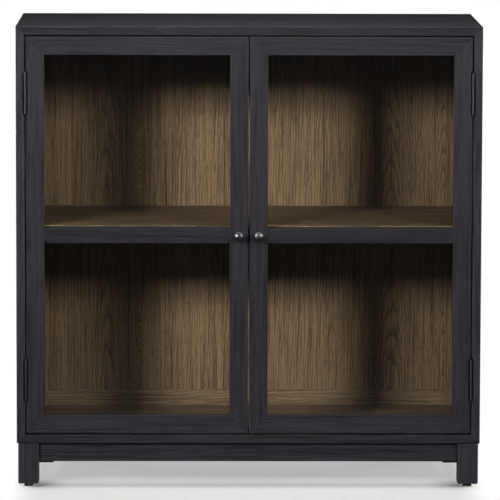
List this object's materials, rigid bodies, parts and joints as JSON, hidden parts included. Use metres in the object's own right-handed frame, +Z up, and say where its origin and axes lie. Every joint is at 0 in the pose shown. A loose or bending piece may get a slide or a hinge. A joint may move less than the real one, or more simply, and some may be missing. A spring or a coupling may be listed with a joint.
{
  "type": "glazed cabinet",
  "caption": "Low two-door display cabinet on short legs: dark-stained mitred case, glazed inset doors on butt hinges, round knobs, brown oak interior with a loose shelf.",
  "frame": {"origin": "on the floor under the middle of the whole footprint, knobs included", "axes": "+X to the right along the front, +Y from the doors to the back, +Z up"},
  "size_m": [1.016, 0.481, 1.013],
  "materials": {
    "black_oak": "wire-brushed oak under a matt charcoal stain",
    "brown_oak": "brushed oak, matt brown stain",
    "glass": "clear float glass",
    "gunmetal": "dark gunmetal plating, satin",
    "plated_steel": "zinc plated",
    "black_nylon": "moulded black nylon"
  },
  "bodies": {
    "case": {"back_bottom_rail": "brown_oak", "back_left_stile": "brown_oak", "back_panel": "brown_oak", "back_right_stile": "brown_oak", "back_screws": "plated_steel", "back_top_rail": "brown_oak", "base_screws": "plated_steel", "bottom_panel": "black_oak", "case_hinge_leaves": "gunmetal", "case_hinge_screws": "gunmetal", "catch_screws": "plated_steel", "corner_blocks": "black_oak", "door_catches": "black_nylon", "front_apron": "black_oak", "front_left_glide": "black_nylon", "front_left_leg": "black_oak", "front_right_glide": "black_nylon", "front_right_leg": "black_oak", "glide_screws": "plated_steel", "hinge_pins": "gunmetal", "left_apron": "black_oak", "left_side_panel": "black_oak", "leg_bolts": "plated_steel", "leg_nuts": "plated_steel", "rear_apron": "black_oak", "rear_left_glide": "black_nylon", "rear_left_leg": "black_oak", "rear_right_glide": "black_nylon", "rear_right_leg": "black_oak", "right_apron": "black_oak", "right_side_panel": "black_oak", "shelf_pins": "plated_steel", "top_panel": "black_oak"},
    "shelf": {"shelf": "brown_oak"},
    "left_door": {"left_door_bottom_rail": "black_oak", "left_door_glazing_beads": "black_oak", "left_door_hinge_leaves": "gunmetal", "left_door_hinge_screws": "gunmetal", "left_door_hinge_stile": "black_oak", "left_door_knob": "gunmetal", "left_door_knob_screw": "gunmetal", "left_door_lower_glass": "glass", "left_door_meeting_stile": "black_oak", "left_door_mid_rail": "black_oak", "left_door_strike": "plated_steel", "left_door_top_rail": "black_oak", "left_door_upper_glass": "glass"},
    "right_door": {"right_door_bottom_rail": "black_oak", "right_door_glazing_beads": "black_oak", "right_door_hinge_leaves": "gunmetal", "right_door_hinge_screws": "gunmetal", "right_door_hinge_stile": "black_oak", "right_door_knob": "gunmetal", "right_door_knob_screw": "gunmetal", "right_door_lower_glass": "glass", "right_door_meeting_stile": "black_oak", "right_door_mid_rail": "black_oak", "right_door_strike": "plated_steel", "right_door_top_rail": "black_oak", "right_door_upper_glass": "glass"}
  },
  "joints": [
    {"name": "left_door_hinge", "type": "hinge", "parent": "case", "child": "left_door", "pos_m": [-0.4875, -0.218, 0.55], "axis": [0, 0, -1], "range_deg": [0, 180]},
    {"name": "right_door_hinge", "type": "hinge", "parent": "case", "child": "right_door", "pos_m": [0.4875, -0.218, 0.55], "axis": [0, 0, 1], "range_deg": [0, 180]},
    {"name": "shelf_lift", "type": "slide", "parent": "case", "child": "shelf", "axis": [0, 0, 1], "range_m": [0, 0.1]}
  ]
}
